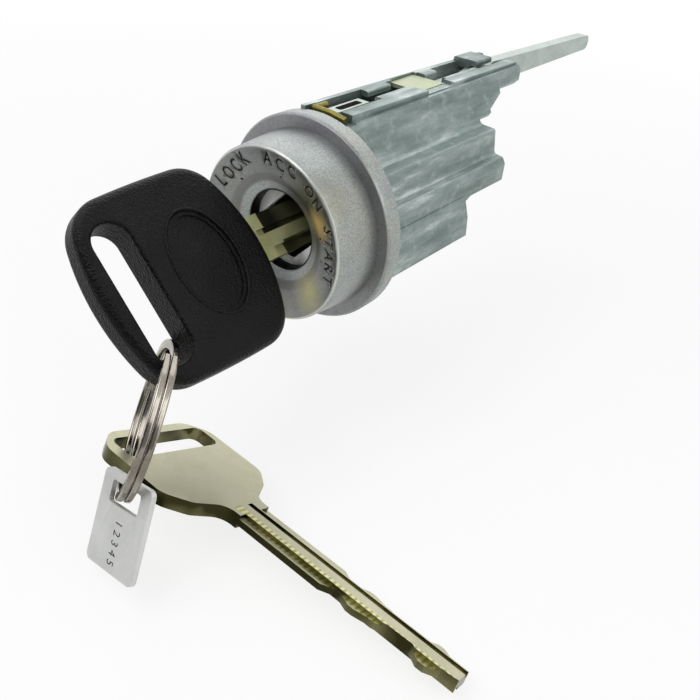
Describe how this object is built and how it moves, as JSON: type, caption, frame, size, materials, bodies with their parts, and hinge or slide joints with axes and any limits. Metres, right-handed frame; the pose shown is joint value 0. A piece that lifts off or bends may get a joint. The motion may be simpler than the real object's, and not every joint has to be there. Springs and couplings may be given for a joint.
{
  "type": "ignition lock cylinder with keys",
  "caption": "Die-cast vehicle ignition lock cylinder with a turning plug, a key in place, a rear release lever, and a spare key and code tag on a split ring.",
  "frame": {"origin": "on the lock's axis in the rear face of the flange, where the flange seats", "axes": "+Y along the lock's axis towards the release lever's tip, the key entering from -Y; +Z towards the open channel on top; +X to the right seen from the front"},
  "size_m": [0.0786, 0.1559, 0.0537],
  "materials": {
    "zinc_body": "bare die-cast zinc, fine grain, mottled grey",
    "brass_plug": "machined, dulled",
    "bright_steel": "bright plated",
    "dark_steel": "blackened",
    "spring_steel": "drawn wire",
    "wafer_brass": "stamped",
    "lever_steel": "stamped, lightly tumbled",
    "spring_brass": "drawn wire, dulled",
    "yellow_plate": "pale yellow chromate",
    "key_brass": "milled, lightly tarnished nickel over brass",
    "black_head": "moulded with a fine leather-like grain",
    "ring_nickel": "polished nickel plate",
    "spare_nickel_silver": "satin nickel silver",
    "tag_aluminium": "stamped, matt"
  },
  "bodies": {
    "housing": {"lock_housing": "zinc_body", "lever_pin": "bright_steel", "lever_spring": "spring_brass", "channel_plate": "yellow_plate", "retaining_spring": "spring_steel"},
    "plug": {"plug": "brass_plug", "plug_cap": "bright_steel", "key_shutter": "dark_steel", "shutter_spring": "spring_steel", "wafer_1": "wafer_brass", "wafer_2": "wafer_brass", "wafer_3": "wafer_brass", "wafer_4": "wafer_brass", "wafer_5": "wafer_brass", "wafer_6": "wafer_brass", "wafer_7": "wafer_brass", "wafer_8": "wafer_brass", "wafer_springs": "spring_steel", "detent_ball": "bright_steel", "detent_spring": "spring_steel", "plug_clip": "spring_steel"},
    "key": {"key_blade": "key_brass", "key_head": "black_head"},
    "ring": {"split_ring": "ring_nickel"},
    "spare_key": {"spare_key": "spare_nickel_silver"},
    "code_tag": {"code_tag": "tag_aluminium"},
    "release_lever": {"release_lever": "lever_steel"},
    "retaining_pin": {"retaining_pin": "bright_steel"}
  },
  "joints": [
    {"name": "plug_turn", "type": "hinge", "parent": "housing", "child": "plug", "pos_m": [0, 0, 0], "axis": [0, 1, 0], "range_deg": [0, 121]},
    {"name": "key_slide", "type": "slide", "parent": "plug", "child": "key", "axis": [0, -1, 0], "range_m": [0, 0.045]},
    {"name": "ring_swing", "type": "hinge", "parent": "key", "child": "ring", "pos_m": [0.00616, -0.03862, -0.00604], "axis": [0.7175, -0.5041, 0.4807], "range_deg": [-12, 12]},
    {"name": "spare_key_swing", "type": "hinge", "parent": "ring", "child": "spare_key", "pos_m": [0.00202, -0.04423, -0.02497], "axis": [-0.5294, 0.7588, 0.3794], "range_deg": [-10, 10]},
    {"name": "code_tag_swing", "type": "hinge", "parent": "ring", "child": "code_tag", "pos_m": [0.01125, -0.05282, -0.02278], "axis": [-0.662, 0.3494, -0.663], "range_deg": [-12, 12]},
    {"name": "lever_rock", "type": "hinge", "parent": "housing", "child": "release_lever", "pos_m": [0, 0.048, 0.0146], "axis": [1, 0, 0], "range_deg": [0, 2.5]},
    {"name": "retaining_pin_press", "type": "slide", "parent": "housing", "child": "retaining_pin", "axis": [0.7071, 0, 0.7071], "range_m": [0, 0.0022], "stiffness_N_per_m": 1500, "springref_m": -0.001}
  ],
  "couplings": [
    {"joint": "lever_rock", "follows": "key_slide", "rad_per_m": 0.96}
  ]
}
